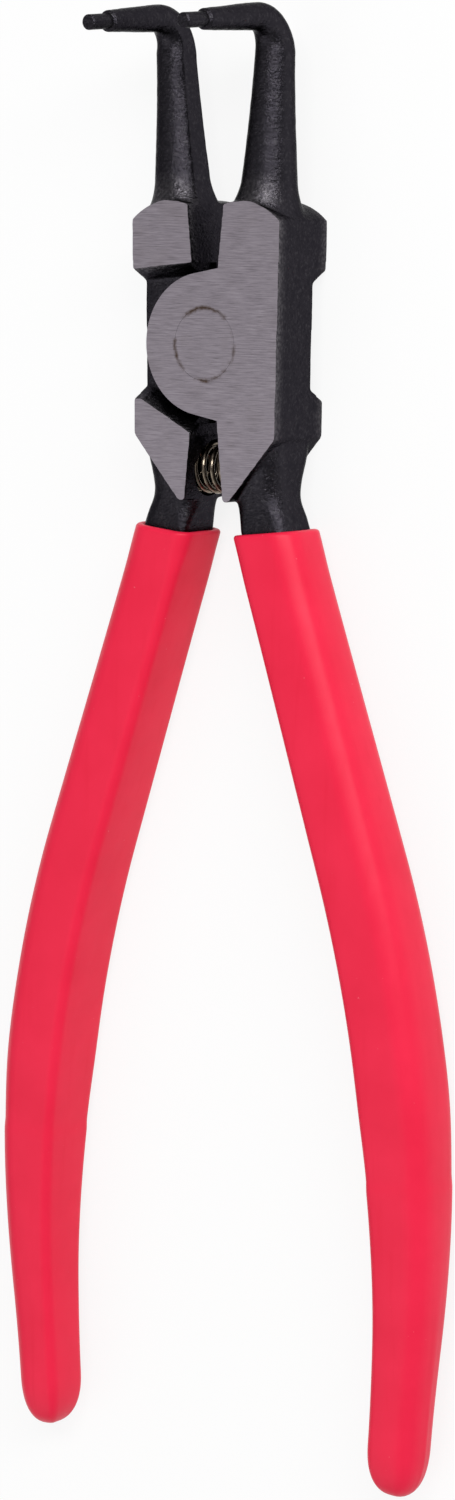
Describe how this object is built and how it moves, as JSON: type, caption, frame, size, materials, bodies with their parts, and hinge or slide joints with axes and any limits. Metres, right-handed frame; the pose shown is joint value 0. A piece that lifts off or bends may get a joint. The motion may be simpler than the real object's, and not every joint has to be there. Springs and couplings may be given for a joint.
{
  "type": "circlip pliers",
  "caption": "External circlip pliers with right-angled round tips, forged black arms on a flush lap joint, return spring and red dipped handles.",
  "frame": {"origin": "pivot axis at the back ground face of the head, which is the rivet's flush end there", "axes": "+Z along the pivot axis towards the front face and the way the tips point, +Y from the pivot towards the jaws, +X across to the half whose lap disc is in front"},
  "size_m": [0.0632, 0.1754, 0.0242],
  "materials": {
    "black_forging": "satin",
    "ground_steel": "satin",
    "spring_wire": "satin",
    "dipped_grip": "satin"
  },
  "bodies": {
    "front_half": {"front_arm": "black_forging", "pivot_rivet": "ground_steel", "right_grip": "dipped_grip", "return_spring": "spring_wire"},
    "rear_half": {"rear_arm": "black_forging", "left_grip": "dipped_grip"}
  },
  "joints": [
    {"name": "pivot", "type": "hinge", "parent": "front_half", "child": "rear_half", "pos_m": [0, 0, 0.005], "axis": [0, 0, 1], "range_deg": [-15, 15], "stiffness_Nm_per_rad": 0.2, "deforming": ["return_spring"]}
  ]
}
